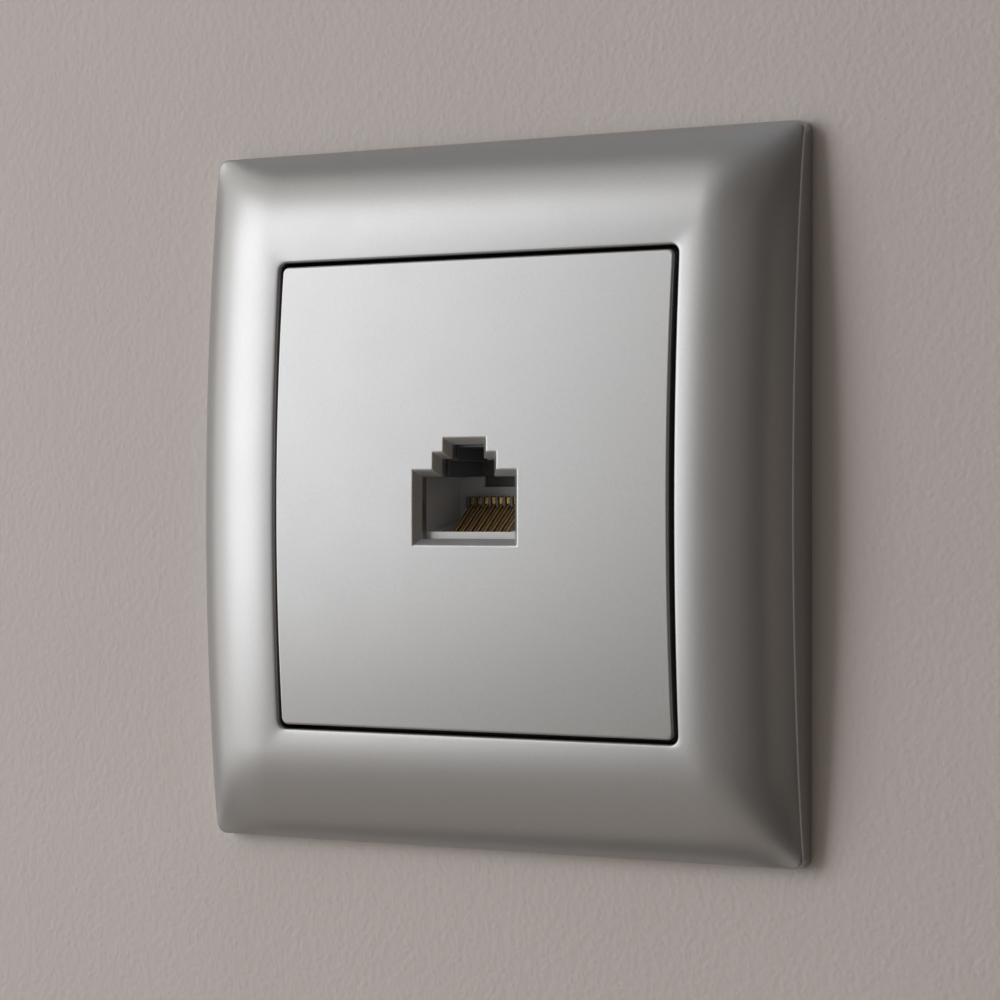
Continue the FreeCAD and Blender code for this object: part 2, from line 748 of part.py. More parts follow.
def main():
    os.makedirs("parts", exist_ok=True)
    save("cover_frame", cover_frame())
    save("cover_plate", cover_plate())
    save("support_plate", support_plate())
    save("jack_carrier", jack_carrier())
    save("carrier_rivets", carrier_rivets())
    for side, name in ((-1, "left"), (1, "right")):
        save("claw_" + name, claw(side))
        save("claw_pin_" + name, claw_pin(side))
        save("claw_screw_" + name, claw_screw(side))
    save("jack_housing", jack_housing())
    save("contact_comb", contact_comb())
    for i in range(contact_count):
        save("contact_spring_%d" % (i + 1), contact_spring(i))
    save("contact_leads", contact_leads())
    save("jack_pcb", jack_pcb())
    save("terminal_block", terminal_block())
    for i, (x, z) in enumerate(blade_places()):
        save("idc_blade_%d" % (i + 1), idc_blade(x, z))
    save("wire_cap_upper", wire_cap(row_z[0]))
    save("wire_cap_lower", wire_cap(row_z[1]))


main()
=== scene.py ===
import json
import math

import bmesh
import bpy
from mathutils import Matrix, Vector
from mathutils.geometry import delaunay_2d_cdt

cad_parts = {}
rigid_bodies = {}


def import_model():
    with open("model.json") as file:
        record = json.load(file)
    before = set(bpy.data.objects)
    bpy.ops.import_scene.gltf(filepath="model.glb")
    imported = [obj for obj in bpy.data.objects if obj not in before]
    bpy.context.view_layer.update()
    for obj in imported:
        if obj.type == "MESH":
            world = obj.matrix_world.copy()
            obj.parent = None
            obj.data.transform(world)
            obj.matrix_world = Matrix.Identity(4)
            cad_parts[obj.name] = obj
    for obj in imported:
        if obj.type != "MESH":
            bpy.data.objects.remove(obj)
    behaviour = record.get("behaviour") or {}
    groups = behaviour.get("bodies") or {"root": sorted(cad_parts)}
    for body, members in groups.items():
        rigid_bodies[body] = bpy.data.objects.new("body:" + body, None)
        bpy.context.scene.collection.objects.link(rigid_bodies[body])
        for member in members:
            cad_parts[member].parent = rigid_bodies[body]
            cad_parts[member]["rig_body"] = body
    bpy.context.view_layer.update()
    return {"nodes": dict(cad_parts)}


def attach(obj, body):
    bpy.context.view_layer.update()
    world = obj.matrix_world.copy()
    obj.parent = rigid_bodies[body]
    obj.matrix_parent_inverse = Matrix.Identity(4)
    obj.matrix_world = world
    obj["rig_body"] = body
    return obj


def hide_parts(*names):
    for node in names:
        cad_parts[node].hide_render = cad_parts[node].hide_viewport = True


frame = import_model()

# All sizes are millimetres, in the frame of the CAD model, until a mesh is made.
MM = 0.001

# Camera: angles in degrees, focal length in pixels of a picture 1000 pixels wide
CAMERA_YAW = 34.492
CAMERA_PITCH = -0.397
CAMERA_ROLL = 0.138
CAMERA_AWAY = 417.15
CAMERA_TARGET = (-0.520, 0.0, -0.510)
FOCAL_PIXELS = 3588.365
PICTURE_PIXELS = 1000
SENSOR_WIDTH = 36.0

# Cover frame
FRAME_HALF = 41.05
FRAME_CORNER = 1.3
FRAME_AXIS = 347.2
OPENING_X = 27.84
OPENING_Z = 27.62
OPENING_CORNER = 1.0
STRIP_LINE = 30.1
STRIP_EDGE_SHARE = 0.28
STRIP_INNER_ROUND = 1.0
FRONT_HEIGHTS = (7.8, 4.2)
HOLLOW_HALF = 39.45
HOLLOW_CORNER = 0.8
HOLLOW_HEIGHTS = (5.9, 2.7)
RIM_ROUND = 0.4
OPENING_ROUND = 0.33
BACK_BREAK = 0.15
CORE_WALL = 1.45
LEDGE_REACH = 2.7
LEDGE_FRONT = -2.6
LEDGE_BACK = -1.4
RIB_OFFSET = 14.0
RIB_WIDTH = 1.0
RIB_OVERLAP = 0.2
RIB_SINK = 0.3

# Cover plate
PLATE_X = 27.34
PLATE_Z = 27.14
PLATE_CORNER = 0.8
PLATE_BOW = 285.0
PLATE_CROWN = 8.02
PLATE_ROUND = 0.25
PLATE_WALL = 1.5
PORT_MAIN = 6.49
PORT_STEP = 3.65
PORT_SLOT = 2.19
PORT_BOTTOM = -5.02
PORT_TOPS = (2.12, 4.15, 5.79)
PORT_CHAMFER = 0.78
PORT_SLOPE = 45
PORT_CORNER = 0.14
PORT_LIP = 0.36
PORT_FOOT = 0.1
LEG_OFFSET = 5.0
LEG_WIDTH = 4.0
LEG_INNER = 22.4
LEG_OUTER = 23.6
LEG_HOOK = 24.6
LEG_ROOT = -6.1
LEG_CATCH = -0.4
LEG_END = 1.7

# Edges of ribs and legs, as the mould leaves them
MOULDED_EDGE = 0.12

# How far the spray of lacquer reaches down into the gap between frame and plate
LACQUER_IN_GAP = 0.25

# Rings of the plate's front beside a rounded edge: one close to it keeps the front flat up to there
EDGE_BAND = 0.7
EDGE_HOLD = 0.06

# Into how many parts curved surfaces and edges are divided
STRIP_PARTS = 40
ROOF_PARTS = 10
FRAME_ROUND_PARTS = 6
RIB_PARTS = 8
PLATE_SIDE_PARTS = 48
PLATE_CORNER_PARTS = 6
PLATE_ROUND_PARTS = 4
PORT_SIDE_PARTS = 6
PORT_CORNER_PARTS = 4
PORT_ROUND_PARTS = 3

# Points that fill the plate's front and underside: how far apart, and how far from the port
FRONT_SPACING = 1.5
UNDERSIDE_SPACING = 2.5
PORT_MARGIN = 2.2

# Tray round the plug: its ledge at the front, which gets painted light, and the teeth that part the
# contacts, which get painted shade
TRAY_EDGE = 0.06
TRAY_LEDGE_TOP = -4.2
TRAY_LEDGE_BACK = -5.6
TEETH_FRONT, TEETH_BACK = -1.45, 0.2
TEETH_BOTTOM, TEETH_TOP = -1.6, 0.0
TEETH_HALF = 5.3

# Rivets of the carrier: radius and y, from the domed head at the front to the dimple in the set head
RIVET_OFFSET = 18.0
RIVET_PROFILE = [(0, -1.8), (0.8, -1.775), (1.5, -1.68), (2.05, -1.48), (2.4, -1.22), (2.5, -1.05),
                 (2.46, -1.0), (1.48, -1.0), (1.48, 2.0), (2.42, 2.0), (2.5, 2.08), (2.42, 2.38),
                 (2.1, 2.64), (1.6, 2.78), (1.05, 2.8), (0.75, 2.72), (0.5, 2.6), (0, 2.56)]

# Claw screws
SCREW_X = 21.0
SCREW_HEAD_R = 2.75
SCREW_HEAD = (-5.5, -3.5)
SCREW_SLOT = (0.8, 1.0)
SCREW_MAJOR = 1.45
SCREW_MINOR = 1.15
SCREW_PITCH = 0.5
SCREW_TIP = 3.5
# Front of the head: how far each ring lies inside the head's radius and behind its front
HEAD_ROUND = ((0.9, 0.0), (0.5, 0.03), (0.22, 0.14), (0.06, 0.34), (0.0, 0.6))
HEAD_BREAK = 0.12
SLOT_EDGE = 0.05
# Tip of the screw: radius of each ring and how far it lies from the end
TIP_ROUND = ((SCREW_MINOR, 0.8), (1.0, 0.4), (0.7, 0.14), (0.35, 0.03))
THREAD_END = 0.9
SHANK_SUNK = 0.3
HEAD_PARTS = 60
SHANK_PARTS = 28
THREAD_PARTS = 10

# Joining and rounding of meshes: distances in millimetres, turns in degrees
CAD_WELD = 0.002
PLATE_WELD = 0.0005
FLAT_TURN = 1.0
SHARP_TURN = 30.0
SLOT_TURN = 50.0
SHADED_TURN = 40.0

# Wall: half its side, how far it reaches under the frame, and its gap behind the frame's back
WALL_HALF = 220.0
WALL_TUCK = 0.6
WALL_GAP = 0.06

# Corners of a square, in order round it
SQUARE = ((1, 1), (-1, 1), (-1, -1), (1, -1))

# Sockets of a Mix node that is set to colours
SHARE, FIRST, SECOND, MIXED = 0, 6, 7, 2


def camera_at_photo_angle():
    """Long lens, 34.5 degrees to the right of the socket and level with its middle."""
    yaw, pitch, roll = (math.radians(a) for a in (CAMERA_YAW, CAMERA_PITCH, CAMERA_ROLL))
    target = Vector(CAMERA_TARGET) * MM
    ahead = Vector((-math.sin(yaw) * math.cos(pitch), math.cos(yaw) * math.cos(pitch), -math.sin(pitch)))
    level_right = Vector((math.cos(yaw), math.sin(yaw), 0.0))
    level_up = level_right.cross(ahead)
    right = level_right * math.cos(roll) + level_up * math.sin(roll)
    up = level_up * math.cos(roll) - level_right * math.sin(roll)
    data = bpy.data.cameras.new("photo_camera")
    data.sensor_width = SENSOR_WIDTH
    data.lens = FOCAL_PIXELS / PICTURE_PIXELS * SENSOR_WIDTH
    data.clip_start, data.clip_end = 0.01, 20.0
    camera = bpy.data.objects.new("photo_camera", data)
    bpy.context.scene.collection.objects.link(camera)
    turn = Matrix((right, up, -ahead)).transposed().to_4x4()
    camera.matrix_world = Matrix.Translation(target - ahead * (CAMERA_AWAY * MM)) @ turn
    bpy.context.scene.camera = camera


def srgb(code):
    """Linear colour from an sRGB hex code."""
    parts = [int(code[i:i + 2], 16) / 255 for i in (1, 3, 5)]
    return tuple(c / 12.92 if c <= 0.04045 else ((c + 0.055) / 1.055) ** 2.4 for c in parts) + (1.0,)


def per_mm(size):
    """Texture scale that gives features of this many millimetres."""
    return 1000.0 / size


def add(tree, kind, inputs=None, **settings):
    """One shader node with its settings; an input is a value, or another node's output to link."""
    node = tree.nodes.new(kind)
    for name, value in settings.items():
        setattr(node, name, value)
    for socket, value in (inputs or {}).items():
        if isinstance(value, bpy.types.NodeSocket):
            tree.links.new(value, node.inputs[socket])
        else:
            node.inputs[socket].default_value = value
    return node


def new_finish(name, **values):
    """A material whose shader has these constant values; gives the tree, shader and object coordinates."""
    material = bpy.data.materials.new(name)
    material.use_nodes = True
    tree = material.node_tree
    shader = tree.nodes["Principled BSDF"]
    for socket, value in values.items():
        shader.inputs[socket.replace("_", " ")].default_value = value
    place = add(tree, "ShaderNodeTexCoord").outputs["Object"]
    return material, tree, shader, place


def link_shader(tree, shader, **outputs):
    """Links each output to the shader's socket of that name."""
    for socket, output in outputs.items():
        tree.links.new(output, shader.inputs[socket.replace("_", " ")])


def moulded(name, dark, light, roughness, blotch, grain, relief, **values):
    """Moulded plastic: cloudy pigment, the fine spark-eroded grain of the mould and an uneven sheen.
    Blotch, grain and relief are millimetres."""
    uneven = 0.07
    material, tree, shader, place = new_finish(name, **values)
    cloud = add(tree, "ShaderNodeTexNoise", {"Vector": place, "Scale": per_mm(blotch), "Detail": 3.0})
    tint = add(tree, "ShaderNodeMix", {SHARE: cloud.outputs["Fac"], FIRST: srgb(dark), SECOND: srgb(light)},
               data_type="RGBA")
    # The grain of such moulds is about 0.05 mm wide; it is drawn at 0.2 to 0.3 mm so that it shows.
    speck = add(tree, "ShaderNodeTexNoise", {"Vector": place, "Scale": per_mm(grain), "Detail": 4.0})
    sheen = add(tree, "ShaderNodeMapRange", {"Value": speck.outputs["Fac"], "To Min": roughness - uneven,
                                             "To Max": roughness + uneven})
    bump = add(tree, "ShaderNodeBump", {"Height": speck.outputs["Fac"], "Strength": 0.35,
                                        "Distance": relief * MM})
    link_shader(tree, shader, Base_Color=tint.outputs[MIXED], Roughness=sheen.outputs["Result"],
                Normal=bump.outputs["Normal"])
    return material


def rolled(name, dark, light, roughness, streak, along):
    """Plated metal: streaks from rolling or drawing along one axis, and the cloudy tint of the plating."""
    uneven, streak_length, plating_cloud, relief = 0.05, 30, 4.0, 0.02
    material, tree, shader, place = new_finish(name, Metallic=1.0)
    # Real streaks are some hundredths of a millimetre wide; they are drawn wider so that they show.
    stretch = [per_mm(streak)] * 3
    stretch["XYZ".index(along)] = per_mm(streak * streak_length)
    drawn = add(tree, "ShaderNodeVectorMath", {0: place, 1: stretch}, operation="MULTIPLY")
    streaks = add(tree, "ShaderNodeTexNoise", {"Vector": drawn.outputs[0], "Scale": 1.0, "Detail": 3.0})
    cloud = add(tree, "ShaderNodeTexNoise", {"Vector": place, "Scale": per_mm(plating_cloud), "Detail": 3.0})
    blend = add(tree, "ShaderNodeMath", {0: streaks.outputs["Fac"], 1: cloud.outputs["Fac"]},
                operation="MULTIPLY")
    tint = add(tree, "ShaderNodeMapRange", {"Value": blend.outputs[0], "From Min": 0.1, "From Max": 0.4})
    colour = add(tree, "ShaderNodeMix", {SHARE: tint.outputs["Result"], FIRST: srgb(dark),
                                         SECOND: srgb(light)}, data_type="RGBA")
    sheen = add(tree, "ShaderNodeMapRange", {"Value": streaks.outputs["Fac"], "To Min": roughness + uneven,
                                             "To Max": roughness - uneven})
    bump = add(tree, "ShaderNodeBump", {"Height": streaks.outputs["Fac"], "Strength": 0.25,
                                        "Distance": relief * MM})
    link_shader(tree, shader, Base_Color=colour.outputs[MIXED], Roughness=sheen.outputs["Result"],
                Normal=bump.outputs["Normal"])
    return material


def silver_lacquer():
    """Satin silver lacquer sprayed on moulded ABS: aluminium flake in a clear coat, so it has a soft
    metal sheen with a fine sparkle, a slight orange peel and no sharp mirror image."""
    # Flakes are about 0.03 mm across; they are drawn at 0.22 mm so that they show.
    flake_size, cloud_size, peel_size, relief = 0.22, 7.0, 0.9, 0.02
    material, tree, shader, place = new_finish("satin_silver_lacquer_on_moulded_abs", Metallic=0.75)
    flake = add(tree, "ShaderNodeTexNoise", {"Vector": place, "Scale": per_mm(flake_size), "Detail": 2.0})
    colour = add(tree, "ShaderNodeMix", {SHARE: flake.outputs["Fac"], FIRST: srgb("#ababab"),
                                         SECOND: srgb("#b9b9b9")}, data_type="RGBA")
    cloud = add(tree, "ShaderNodeTexNoise", {"Vector": place, "Scale": per_mm(cloud_size), "Detail": 3.0})
    sheen = add(tree, "ShaderNodeMapRange", {"Value": cloud.outputs["Fac"], "To Min": 0.29, "To Max": 0.34})
    peel = add(tree, "ShaderNodeTexNoise", {"Vector": place, "Scale": per_mm(peel_size), "Detail": 3.0})
    bump = add(tree, "ShaderNodeBump", {"Height": peel.outputs["Fac"], "Strength": 0.2,
                                        "Distance": relief * MM})
    link_shader(tree, shader, Base_Color=colour.outputs[MIXED], Roughness=sheen.outputs["Result"],
                Normal=bump.outputs["Normal"])
    return material


def masked_laminate():
    """Glass-fibre laminate under green solder mask: glossy green faces with faint copper runs under the
    mask, and sawn edges that show the straw-coloured layers of glass cloth."""
    # A wave's bands lie 0.31 of its size apart: copper runs 0.41 mm, layers of cloth 0.38 mm.
    runs_size, layers_size, relief = 1.3, 1.2, 0.03
    material, tree, shader, place = new_finish("green_masked_fr4_laminate", Roughness=0.32)
    runs = add(tree, "ShaderNodeTexWave", {"Vector": place, "Scale": per_mm(runs_size), "Distortion": 1.2},
               bands_direction="X")
    mask = add(tree, "ShaderNodeMix", {SHARE: runs.outputs["Fac"], FIRST: srgb("#1d4a30"),
                                       SECOND: srgb("#2b6040")}, data_type="RGBA")
    layers = add(tree, "ShaderNodeTexWave", {"Vector": place, "Scale": per_mm(layers_size),
                                             "Distortion": 0.6}, bands_direction="Y")
    sawn = add(tree, "ShaderNodeMix", {SHARE: layers.outputs["Fac"], FIRST: srgb("#8f8450"),
                                       SECOND: srgb("#b9ad78")}, data_type="RGBA")
    facing = add(tree, "ShaderNodeSeparateXYZ", {0: add(tree, "ShaderNodeTexCoord").outputs["Normal"]})
    flat = add(tree, "ShaderNodeMath", {0: facing.outputs["Y"]}, operation="ABSOLUTE")
    on_face = add(tree, "ShaderNodeMath", {0: flat.outputs[0], 1: 0.6}, operation="GREATER_THAN")
    colour = add(tree, "ShaderNodeMix", {SHARE: on_face.outputs[0], FIRST: sawn.outputs[MIXED],
                                         SECOND: mask.outputs[MIXED]}, data_type="RGBA")
    bump = add(tree, "ShaderNodeBump", {"Height": runs.outputs["Fac"], "Strength": 0.2,
                                        "Distance": relief * MM})
    link_shader(tree, shader, Base_Color=colour.outputs[MIXED], Normal=bump.outputs["Normal"])
    return material


def painted_plaster():
    """Emulsion paint rolled on fine plaster: matt and warm, with low soft pimples from the roller."""
    cloud_size, pimple_size, grit_size, relief = 30.0, 0.8, 0.6, 0.1
    material, tree, shader, place = new_finish("rolled_emulsion_on_plaster", Roughness=0.85)
    cloud = add(tree, "ShaderNodeTexNoise", {"Vector": place, "Scale": per_mm(cloud_size), "Detail": 4.0})
    colour = add(tree, "ShaderNodeMix", {SHARE: cloud.outputs["Fac"], FIRST: srgb("#ece5e1"),
                                         SECOND: srgb("#f4ede9")}, data_type="RGBA")
    pimples = add(tree, "ShaderNodeTexVoronoi", {"Vector": place, "Scale": per_mm(pimple_size),
                                                 "Smoothness": 1.0}, feature="SMOOTH_F1")
    grit = add(tree, "ShaderNodeTexNoise", {"Vector": place, "Scale": per_mm(grit_size), "Detail": 3.0})
    skin = add(tree, "ShaderNodeMath", {0: grit.outputs["Fac"], 1: pimples.outputs["Distance"]},
               operation="SUBTRACT")
    bump = add(tree, "ShaderNodeBump", {"Height": skin.outputs[0], "Strength": 0.5, "Distance": relief * MM})
    link_shader(tree, shader, Base_Color=colour.outputs[MIXED], Normal=bump.outputs["Normal"])
    return material


LACQUER = silver_lacquer()
# ABS as it leaves the mould: black with a fine matt grain, seen only inside the gap and on the back.
BARE_ABS = moulded("moulded_black_abs", "#141312", "#1c1a19",
                   roughness=0.58, blotch=5.0, grain=0.18, relief=0.02)
# Glass-filled PBT of the jack: charcoal, a little shiny on its faces, with cloudy glass fibre; also laid on
# the tray's teeth as painted shade.
CHARCOAL_PBT = moulded("moulded_charcoal_pbt", "#5f6265", "#6a6d70",
                       roughness=0.46, blotch=2.5, grain=0.2, relief=0.02)
# Pale grey PBT of the tray round the plug: matt from the grain of the mould.
PALE_PBT = moulded("moulded_pale_pbt", "#d2d4d8", "#dcdee2",
                   roughness=0.5, blotch=3.0, grain=0.2, relief=0.015)
# The tray's front ledge: the pale PBT painted nearly white as painted light where the lamp falls on it, with
# a smoother, shinier skin where plugs slide over it.
PAINTED_LIGHT_PBT = moulded("pale_pbt_painted_light", "#f0f0ef", "#f7f7f6",
                       roughness=0.34, blotch=3.0, grain=0.2, relief=0.01, IOR=1.6)
# Polycarbonate: mid grey with a smoother, shinier skin than the other mouldings.
GREY_PC = moulded("moulded_grey_polycarbonate", "#858789", "#8f9193",
                  roughness=0.4, blotch=6.0, grain=0.25, relief=0.02)
# Caps of white polycarbonate: off-white and smooth, with a soft shine along their rounded edges.
WHITE_PC = moulded("moulded_white_polycarbonate", "#d5d6d4", "#e0e0dd",
                   roughness=0.36, blotch=5.0, grain=0.3, relief=0.015)
# Cold-rolled sheet, zinc plated after stamping: cool grey, fine streaks along the rolling direction.
ZINC_SHEET = rolled("zinc_plated_rolled_steel", "#9a9da0", "#b9bcbe", roughness=0.36, streak=0.35, along="Z")
# Bright zinc with clear passivation: paler, with a faint warm and blue cast.
BRIGHT_ZINC = rolled("bright_zinc_plated_steel", "#b8b9b6", "#c6c9cd", roughness=0.3, streak=0.2, along="Y")
# Drawn phosphor bronze wire with a thin gold flash: dull brown gold, streaked along the wire.
GOLD_WIRE = rolled("gold_flashed_phosphor_bronze", "#7d5a2b", "#b58b4c",
                   roughness=0.42, streak=0.12, along="Y")
# The same wire on its corners, painted pale gold as a painted highlight, so each wire has thin light lines.
PAINTED_HIGHLIGHT_WIRE = rolled("gold_wire_painted_highlight", "#e2c083", "#f6dfae",
                        roughness=0.66, streak=0.12, along="Y")
# Tinned bronze: soft pale grey with a slight yellow cast.
TINNED = rolled("tinned_phosphor_bronze", "#a5a29a", "#c0beb7", roughness=0.38, streak=0.2, along="Y")
LAMINATE = masked_laminate()


def make_piece(name, bm, materials):
    """A shown object from a mesh in metres, shaded smooth but for its sharp edges."""
    bmesh.ops.recalc_face_normals(bm, faces=bm.faces)
    for face in bm.faces:
        face.smooth = True
    mesh = bpy.data.meshes.new(name)
    bm.to_mesh(mesh)
    bm.free()
    mesh.set_sharp_from_angle(angle=math.radians(SHADED_TURN))
    for material in materials:
        mesh.materials.append(material)
    piece = bpy.data.objects.new(name, mesh)
    bpy.context.scene.collection.objects.link(piece)
    weighted = piece.modifiers.new("flat faces stay flat", "WEIGHTED_NORMAL")
    weighted.keep_sharp = True
    return piece


def show(node, made, bm, materials):
    """A piece named for its node and how it is made; it rides on the node's body in the node's place."""
    piece = make_piece(node + "_" + made, bm, materials)
    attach(piece, frame["nodes"][node]["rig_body"])
    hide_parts(node)


def turned_edges(bm, turn):
    """Edges at which the surface turns by more than this many degrees."""
    return [e for e in bm.edges
            if len(e.link_faces) == 2 and e.calc_face_angle(0.0) > math.radians(turn)]


def round_edges(bm, edges, width, material=0):
    """Rounds edges in two steps, less where there is no room; the rounds get this material."""
    bmesh.ops.bevel(bm, geom=edges, offset=width * MM, segments=2, profile=0.5, affect="EDGES",
                    clamp_overlap=True, material=material)


def outline(half_x, half_z, radius, per_side=72, per_corner=8):
    """Points round a rounded rectangle, each with its outward direction; closer together near corners."""
    places = []
    centres = [(cx * (half_x - radius), cz * (half_z - radius)) for cx, cz in SQUARE]
    for i, (x, z) in enumerate(centres):
        for k in range(per_corner + 1):
            a = math.radians(90 * (i + k / per_corner))
            places.append((x + radius * math.cos(a), z + radius * math.sin(a), math.cos(a), math.sin(a)))
        a = math.radians(90 * (i + 1))
        nx, nz = math.cos(a), math.sin(a)
        far_x, far_z = centres[(i + 1) % 4]
        for k in range(1, per_side):
            t = k / per_side
            t = 0.5 * t + 0.25 * (1 - math.cos(math.pi * t))
            places.append((x + (far_x - x) * t + radius * nx, z + (far_z - z) * t + radius * nz, nx, nz))
    return places


def level_ring(places, y):
    """An outline's points at one depth."""
    return [(x, y, z) for x, z, _, _ in places]


def raised_ring(places, height):
    """An outline's points on a surface."""
    return [(x, -height(x, z), z) for x, z, _, _ in places]


def edge_rings(places, height, radius, steps, away):
    """Rings over a rounded edge, from the front surface to the wall under it; away is 1 where the wall
    faces outwards and -1 where it faces inwards."""
    rings = [[] for _ in range(steps + 1)]
    probe = 0.05
    for x, z, nx, nz in places:
        nx, nz = nx * away, nz * away
        here = height(x, z)
        slope = math.atan2(height(x - nx * probe, z - nz * probe) - here, probe)
        centre = here + radius * math.tan(slope) - radius / math.cos(slope)
        for i, ring in enumerate(rings):
            a = slope + (math.pi / 2 - slope) * i / steps
            reach = radius * (math.sin(a) - 1)
            ring.append((x + nx * reach, -centre - radius * math.cos(a), z + nz * reach))
    return rings


def rings_between(first, last, count, height):
    """Rings on a surface between two others."""
    rings = []
    for i in range(1, count):
        t = i / count
        ring = []
        for (x0, _, z0), (x1, _, z1) in zip(first, last):
            x, z = x0 + (x1 - x0) * t, z0 + (z1 - z0) * t
            ring.append((x, -height(x, z), z))
        rings.append(ring)
    return rings


def skin_rings(bm, rings, materials, closed):
    """Quads from ring to ring; materials gives the material of the quads after each ring."""
    made = [[bm.verts.new(Vector(p) * MM) for p in ring] for ring in rings]
    count = len(made[0])
    for i in range(len(made) if closed else len(made) - 1):
        here, there = made[i], made[(i + 1) % len(made)]
        for k in range(count):
            n = (k + 1) % count
            face = bm.faces.new((here[k], here[n], there[n], there[k]))
            face.material_index = materials[i]
    return made


def prism(bm, points, along, start, end, material=0, edge=0.0):
    """Block with this outline, drawn on the two other axes in order, with its edges rounded."""
    def place(a, b, c):
        values = [a, b]
        values.insert("xyz".index(along), c)
        return Vector(values) * MM
    near = [bm.verts.new(place(a, b, start)) for a, b in points]
    far = [bm.verts.new(place(a, b, end)) for a, b in points]
    faces = [bm.faces.new(near), bm.faces.new(far[::-1])]
    for i in range(len(points)):
        n = (i + 1) % len(points)
        faces.append(bm.faces.new((near[i], far[i], far[n], near[n])))
    for face in faces:
        face.material_index = material
    if edge:
        round_edges(bm, list(dict.fromkeys(e for face in faces for e in face.edges)), edge, material)


def strip_drop(t):
    """Share of its fall that a strip has come down, from t = 0 on its highest line to 1 at its edge."""
    return (1 - STRIP_EDGE_SHARE) * t ** 2 + STRIP_EDGE_SHARE * max(t, 0.0) ** 6


def bowed(half, heights):
    """Height above the wall of the frame's front or hollow: a swelling strip along each side, strips that
    flow into each other at the corners, and a bow from top to bottom."""
    crest, rim = heights
    run = half - STRIP_LINE

    def height(x, z):
        x, z = abs(x), abs(z)
        across = strip_drop(max(x - STRIP_LINE, 0.0) / run)
        along = strip_drop(max(z - STRIP_LINE, 0.0) / run)
        ring = 0.5 * (x + z + math.hypot(x - z, STRIP_INNER_ROUND))
        inwards = strip_drop(min(ring - STRIP_LINE, 0.0) / run)
        flat = crest - (crest - rim) * (across + along - across * along + inwards)
        return math.sqrt((FRAME_AXIS + flat) ** 2 - z * z) - FRAME_AXIS
    return height


def frame_ribs(bm, hollow, core_x, core_z):
    """Two ribs behind each strip, from the core to the outer wall, sunk a little into what they join."""
    for side in (-1, 1):
        for offset in (-RIB_OFFSET, RIB_OFFSET):
            for along, near in (("z", core_x), ("x", core_z)):
                run = HOLLOW_HALF + 2 * RIB_OVERLAP - near
                spread = [near - RIB_OVERLAP + run * i / RIB_PARTS for i in range(RIB_PARTS + 1)]
                ends = (spread[-1], spread[0])
                if along == "z":
                    points = [(side * s, -hollow(s, offset) - RIB_SINK) for s in spread]
                    points += [(side * s, LEDGE_BACK) for s in ends]
                else:
                    points = [(-hollow(offset, s) - RIB_SINK, side * s) for s in spread]
                    points += [(LEDGE_BACK, side * s) for s in ends]
                prism(bm, points, along, offset - RIB_WIDTH / 2, offset + RIB_WIDTH / 2, 1, MOULDED_EDGE)


def cover_frame():
    """Outer frame: lacquered front, bare ABS on the ledge inside the gap and in the hollow behind."""
    front = bowed(FRAME_HALF, FRONT_HEIGHTS)
    hollow = bowed(HOLLOW_HALF, HOLLOW_HEIGHTS)
    opening = outline(OPENING_X, OPENING_Z, OPENING_CORNER)
    rim = outline(FRAME_HALF, FRAME_HALF, FRAME_CORNER)
    ledge = outline(OPENING_X - LEDGE_REACH, OPENING_Z - LEDGE_REACH, OPENING_CORNER)
    core_x, core_z = OPENING_X + CORE_WALL, OPENING_Z + CORE_WALL
    core = outline(core_x, core_z, OPENING_CORNER + CORE_WALL)
    inside = outline(HOLLOW_HALF, HOLLOW_HALF, HOLLOW_CORNER)
    back_outer, back_inner = FRAME_HALF - BACK_BREAK, HOLLOW_HALF + BACK_BREAK
    opening_edge = edge_rings(opening, front, OPENING_ROUND, FRAME_ROUND_PARTS, -1)[::-1]
    rim_edge = edge_rings(rim, front, RIM_ROUND, FRAME_ROUND_PARTS, 1)
    gap = [(x, y + LACQUER_IN_GAP, z) for x, y, z in opening_edge[0]]
    roof_outer, roof_inner = raised_ring(inside, hollow), raised_ring(core, hollow)
    bare_start = [level_ring(ledge, LEDGE_BACK), level_ring(ledge, LEDGE_FRONT),
                  level_ring(opening, LEDGE_FRONT)]
    painted = [gap] + opening_edge + rings_between(opening_edge[-1], rim_edge[0], STRIP_PARTS, front)
    painted += rim_edge + [level_ring(rim, -BACK_BREAK)]
    back = [level_ring(outline(back_outer, back_outer, FRAME_CORNER), 0.0),
            level_ring(outline(back_inner, back_inner, HOLLOW_CORNER), 0.0),
            level_ring(inside, -BACK_BREAK), roof_outer]
    back += rings_between(roof_outer, roof_inner, ROOF_PARTS, hollow)
    back += [roof_inner, level_ring(core, LEDGE_BACK)]
    materials = [1] * len(bare_start) + [0] * len(painted) + [1] * len(back)
    bm = bmesh.new()
    skin_rings(bm, bare_start + painted + back, materials, closed=True)
    frame_ribs(bm, hollow, core_x, core_z)
    show("cover_frame", "moulding", bm, [LACQUER, BARE_ABS])


def plate_front(x, z):
    """Height of the plate's front above the wall, bowed from top to bottom."""
    return math.sqrt(PLATE_BOW ** 2 - z * z) - PLATE_BOW + PLATE_CROWN


def plate_underside(x, z):
    """Height of the plate's underside above the wall, an even wall below its front."""
    return math.sqrt((PLATE_BOW - PLATE_WALL) ** 2 - z * z) - PLATE_BOW + PLATE_CROWN


def plate_outline(inset):
    """The plate's outline, moved inwards."""
    return outline(PLATE_X - inset, PLATE_Z - inset, PLATE_CORNER, PLATE_SIDE_PARTS, PLATE_CORNER_PARTS)


